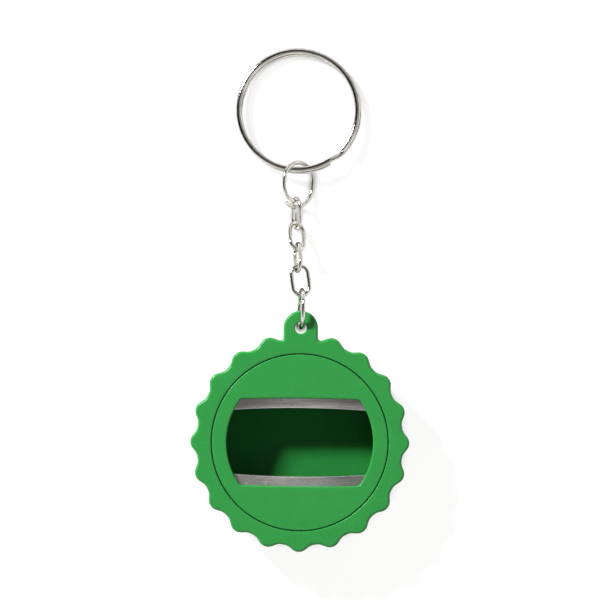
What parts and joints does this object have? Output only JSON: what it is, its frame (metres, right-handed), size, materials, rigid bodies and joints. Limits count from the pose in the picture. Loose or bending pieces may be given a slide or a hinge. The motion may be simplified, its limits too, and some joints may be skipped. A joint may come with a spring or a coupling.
{
  "type": "keychain bottle opener",
  "caption": "Round bottle opener shaped like a scalloped crown cap, with a steel mouth plate in a plastic shell, on a short link chain with a split key ring.",
  "frame": {"origin": "centre of the shell's flat back face, on which the opener lies", "axes": "+Z out of the front, through the cap window; +Y from the shell's centre through its tab, along the chain to the split ring"},
  "size_m": [0.0526, 0.121, 0.0144],
  "materials": {
    "green_plastic": "smooth moulded, semi-gloss",
    "opener_steel": "brushed lengthwise, light scratches",
    "nickel_wire": "bright nickel plate"
  },
  "bodies": {
    "opener": {"shell": "green_plastic", "cover": "green_plastic", "opener_plate": "opener_steel"},
    "lower_jump_ring": {"lower_jump_ring": "nickel_wire"},
    "chain_link_1": {"chain_link_1": "nickel_wire"},
    "chain_link_2": {"chain_link_2": "nickel_wire"},
    "chain_link_3": {"chain_link_3": "nickel_wire"},
    "chain_link_4": {"chain_link_4": "nickel_wire"},
    "upper_jump_ring": {"upper_jump_ring": "nickel_wire"},
    "split_ring": {"split_ring": "nickel_wire"}
  },
  "joints": [
    {"name": "lower_jump_ring_swing", "type": "hinge", "parent": "opener", "child": "lower_jump_ring", "pos_m": [0.00005, 0.03035, 0.0104], "axis": [1, 0, 0], "range_deg": [-45, 90]},
    {"name": "chain_link_1_swing", "type": "hinge", "parent": "lower_jump_ring", "child": "chain_link_1", "pos_m": [0.00013, 0.03659, 0.00898], "axis": [0.1146, 0.1544, 0.9813], "range_deg": [-75, 75]},
    {"name": "chain_link_2_swing", "type": "hinge", "parent": "chain_link_1", "child": "chain_link_2", "pos_m": [-0.0007, 0.04247, 0.00814], "axis": [0.9892, 0.1292, -0.0691], "range_deg": [-90, 90]},
    {"name": "chain_link_3_swing", "type": "hinge", "parent": "chain_link_2", "child": "chain_link_3", "pos_m": [-0.00105, 0.04749, 0.00487], "axis": [-0.2889, -0.5364, -0.793], "range_deg": [-90, 90]},
    {"name": "chain_link_4_swing", "type": "hinge", "parent": "chain_link_3", "child": "chain_link_4", "pos_m": [-0.00124, 0.05283, 0.00215], "axis": [-0.7973, 0.2518, 0.5486], "range_deg": [-90, 90]},
    {"name": "upper_jump_ring_swing", "type": "hinge", "parent": "chain_link_4", "child": "upper_jump_ring", "pos_m": [-0.00124, 0.0586, 0.0038], "axis": [0.4384, -0.2477, 0.864], "range_deg": [-85, 85]},
    {"name": "split_ring_swing", "type": "hinge", "parent": "upper_jump_ring", "child": "split_ring", "pos_m": [-0.0011, 0.06567, 0.00316], "axis": [1, 0, 0], "range_deg": [-90, 90]}
  ]
}
